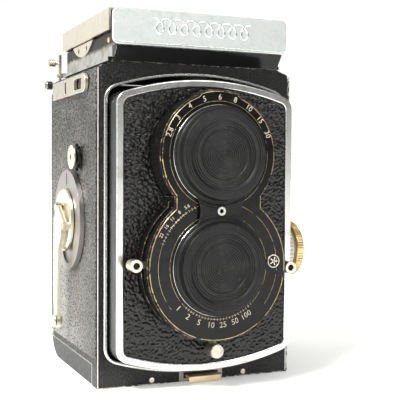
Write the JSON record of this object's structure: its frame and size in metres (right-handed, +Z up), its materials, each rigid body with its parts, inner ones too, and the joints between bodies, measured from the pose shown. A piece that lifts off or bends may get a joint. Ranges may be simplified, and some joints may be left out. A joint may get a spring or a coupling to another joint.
{
  "type": "twin lens reflex camera",
  "caption": "Roll-film camera with two lenses one above the other, a reflex viewing hood on top, a winding crank on one side and a focusing knob on the other.",
  "frame": {"origin": "centre of the tripod socket's mouth, in the middle of the base", "axes": "+Z up, the lenses face -Y, +X is the side of the focusing knob"},
  "size_m": [0.0954, 0.0939, 0.1347],
  "materials": {
    "black_lacquer": "crinkled black lacquer, worn bright at the edges",
    "leather": "pebbled black leather",
    "bright_nickel": "nickel plate, lightly tarnished",
    "satin_aluminium": "satin aluminium with fine scratches",
    "brass": "worn brass",
    "black_cap": "satin black paint with turned rings",
    "black_enamel": "gloss black enamel with a gilt edge",
    "white_enamel": "white enamel with black divisions",
    "lens_glass": "polished glass",
    "ground_glass": "ground glass",
    "mirror": "front-silvered mirror",
    "blade_steel": "blackened steel",
    "spool_wood": "turned wood with black ends"
  },
  "bodies": {
    "camera_body": {"body_shell": "black_lacquer", "front_ring": "bright_nickel", "front_screws": "bright_nickel", "latch_plate": "bright_nickel", "leather_crank_side": "leather", "leather_focus_side": "leather", "strap_lugs": "bright_nickel", "film_chamber": "black_lacquer", "mirror": "mirror", "mirror_cradle": "black_lacquer", "focusing_screen": "ground_glass", "screen_frame": "black_lacquer", "hood_base": "black_lacquer", "hood_hinge_pin": "bright_nickel", "nameplate": "satin_aluminium", "hood_brackets": "bright_nickel", "crank_plate": "bright_nickel", "spool_pins": "bright_nickel", "back_hinge_pin": "bright_nickel"},
    "sliding_front": {"lens_board": "bright_nickel", "board_leather": "leather", "lens_housing": "black_lacquer", "housing_faceplate": "black_enamel", "viewing_lens_barrel": "bright_nickel", "viewing_lens": "lens_glass", "taking_lens_barrel": "bright_nickel", "taking_lens": "lens_glass", "shutter_blades": "blade_steel", "iris_blades": "blade_steel"},
    "speed_lever": {"speed_lever": "bright_nickel"},
    "aperture_lever": {"aperture_lever": "bright_nickel"},
    "release_lever": {"release_lever": "bright_nickel"},
    "lens_caps": {"cap_viewing": "black_cap", "cap_taking": "black_cap", "cap_bridge": "black_cap", "cap_eyelet": "bright_nickel"},
    "focus_knob": {"focus_knob": "brass", "distance_scale": "white_enamel"},
    "crank": {"crank_hub": "brass", "crank_hinge_pin": "bright_nickel"},
    "crank_arm": {"crank_arm": "bright_nickel"},
    "crank_handle": {"crank_handle": "bright_nickel"},
    "counter_knob": {"counter_knob": "black_cap"},
    "supply_spool": {"supply_spool": "spool_wood"},
    "takeup_spool": {"takeup_spool": "spool_wood"},
    "film_roller": {"film_roller": "bright_nickel"},
    "supply_spool_knob": {"supply_spool_knob": "black_cap"},
    "takeup_spool_knob": {"takeup_spool_knob": "black_cap"},
    "hood_lid": {"hood_lid": "satin_aluminium"},
    "flap_crank_side": {"hood_flap_crank_side": "black_lacquer"},
    "flap_focus_side": {"hood_flap_focus_side": "black_lacquer"},
    "flap_rear": {"hood_flap_rear": "black_lacquer"},
    "magnifier": {"magnifier_frame": "black_lacquer", "magnifier_lens": "lens_glass"},
    "hood_catch": {"hood_catch": "brass"},
    "back": {"back_door": "black_lacquer", "back_leather": "leather", "tripod_socket": "bright_nickel"},
    "pressure_plate": {"pressure_plate": "black_lacquer"},
    "latch": {"latch_tongue": "brass"}
  },
  "joints": [
    {"name": "focus_turn", "type": "hinge", "parent": "camera_body", "child": "focus_knob", "pos_m": [0.042, -0.017, 0.0463], "axis": [1, 0, 0], "range_deg": [0, 270]},
    {"name": "front_slide", "type": "slide", "parent": "camera_body", "child": "sliding_front", "axis": [0, -1, 0], "range_m": [0, 0.0078]},
    {"name": "speed_turn", "type": "hinge", "parent": "sliding_front", "child": "speed_lever", "pos_m": [0, -0.048, 0.0442], "axis": [0, 1, 0], "range_deg": [-28, 28]},
    {"name": "aperture_turn", "type": "hinge", "parent": "sliding_front", "child": "aperture_lever", "pos_m": [0, -0.048, 0.0442], "axis": [0, 1, 0], "range_deg": [-28, 28]},
    {"name": "release_turn", "type": "hinge", "parent": "sliding_front", "child": "release_lever", "pos_m": [0, -0.048, 0.0442], "axis": [0, 1, 0], "range_deg": [-12, 12], "stiffness_Nm_per_rad": 0.02},
    {"name": "cap_pull", "type": "slide", "parent": "sliding_front", "child": "lens_caps", "axis": [0, -1, 0], "range_m": [0, 0.012]},
    {"name": "crank_turn", "type": "hinge", "parent": "camera_body", "child": "crank", "pos_m": [-0.042, 0, 0.0584], "axis": [1, 0, 0], "continuous": true},
    {"name": "crank_fold", "type": "hinge", "parent": "crank", "child": "crank_arm", "pos_m": [-0.044, -0.0054, 0.0606], "axis": [0, 0.8425, 0.5388], "range_deg": [0, 90]},
    {"name": "handle_spin", "type": "hinge", "parent": "crank_arm", "child": "crank_handle", "pos_m": [-0.042, 0, 0.0194], "axis": [1, 0, 0], "continuous": true},
    {"name": "counter_turn", "type": "hinge", "parent": "camera_body", "child": "counter_knob", "pos_m": [-0.04, -0.012, 0.0824], "axis": [1, 0, 0], "range_deg": [0, 330]},
    {"name": "supply_spin", "type": "hinge", "parent": "camera_body", "child": "supply_spool", "pos_m": [0, -0.012, 0.0144], "axis": [1, 0, 0], "continuous": true},
    {"name": "takeup_spin", "type": "hinge", "parent": "camera_body", "child": "takeup_spool", "pos_m": [0, 0.0184, 0.0874], "axis": [1, 0, 0], "continuous": true},
    {"name": "roller_spin", "type": "hinge", "parent": "camera_body", "child": "film_roller", "pos_m": [0, 0.0255, 0.0112], "axis": [1, 0, 0], "continuous": true},
    {"name": "supply_knob_pull", "type": "slide", "parent": "camera_body", "child": "supply_spool_knob", "axis": [1, 0, 0], "range_m": [0, 0.005], "stiffness_N_per_m": 250},
    {"name": "takeup_knob_pull", "type": "slide", "parent": "camera_body", "child": "takeup_spool_knob", "axis": [1, 0, 0], "range_m": [0, 0.005], "stiffness_N_per_m": 250},
    {"name": "lid_turn", "type": "hinge", "parent": "camera_body", "child": "hood_lid", "pos_m": [0, -0.0346, 0.1329], "axis": [1, 0, 0], "range_deg": [0, 90]},
    {"name": "flap_crank_side_turn", "type": "hinge", "parent": "camera_body", "child": "flap_crank_side", "pos_m": [-0.0303, 0, 0.1191], "axis": [0, -1, 0], "range_deg": [0, 90]},
    {"name": "flap_focus_side_turn", "type": "hinge", "parent": "camera_body", "child": "flap_focus_side", "pos_m": [0.0303, 0, 0.1191], "axis": [0, 1, 0], "range_deg": [0, 90]},
    {"name": "flap_rear_turn", "type": "hinge", "parent": "camera_body", "child": "flap_rear", "pos_m": [0, 0.028, 0.1191], "axis": [-1, 0, 0], "range_deg": [0, 90]},
    {"name": "magnifier_turn", "type": "hinge", "parent": "hood_lid", "child": "magnifier", "pos_m": [0, -0.0046, 0.13], "axis": [-1, 0, 0], "range_deg": [0, 90]},
    {"name": "catch_turn", "type": "hinge", "parent": "camera_body", "child": "hood_catch", "pos_m": [-0.0347, 0.0336, 0.1172], "axis": [-1, 0, 0], "range_deg": [0, 15], "stiffness_Nm_per_rad": 0.05},
    {"name": "back_turn", "type": "hinge", "parent": "camera_body", "child": "back", "pos_m": [0, 0.0331, 0.113], "axis": [1, 0, 0], "range_deg": [0, 100]},
    {"name": "pressure_plate_travel", "type": "slide", "parent": "back", "child": "pressure_plate", "axis": [0, 1, 0], "range_m": [0, 0.0015], "stiffness_N_per_m": 120},
    {"name": "latch_slide", "type": "slide", "parent": "camera_body", "child": "latch", "axis": [0, -1, 0], "range_m": [0, 0.003], "stiffness_N_per_m": 300}
  ],
  "couplings": [
    {"joint": "focus_turn", "follows": "front_slide", "rad_per_m": 604.1},
    {"joint": "crank_turn", "follows": "takeup_spin", "ratio": 1},
    {"joint": "flap_crank_side_turn", "follows": "lid_turn", "ratio": 1},
    {"joint": "flap_focus_side_turn", "follows": "lid_turn", "ratio": 1},
    {"joint": "flap_rear_turn", "follows": "lid_turn", "ratio": 1},
    {"joint": "magnifier_turn", "follows": "lid_turn", "ratio": 1}
  ]
}
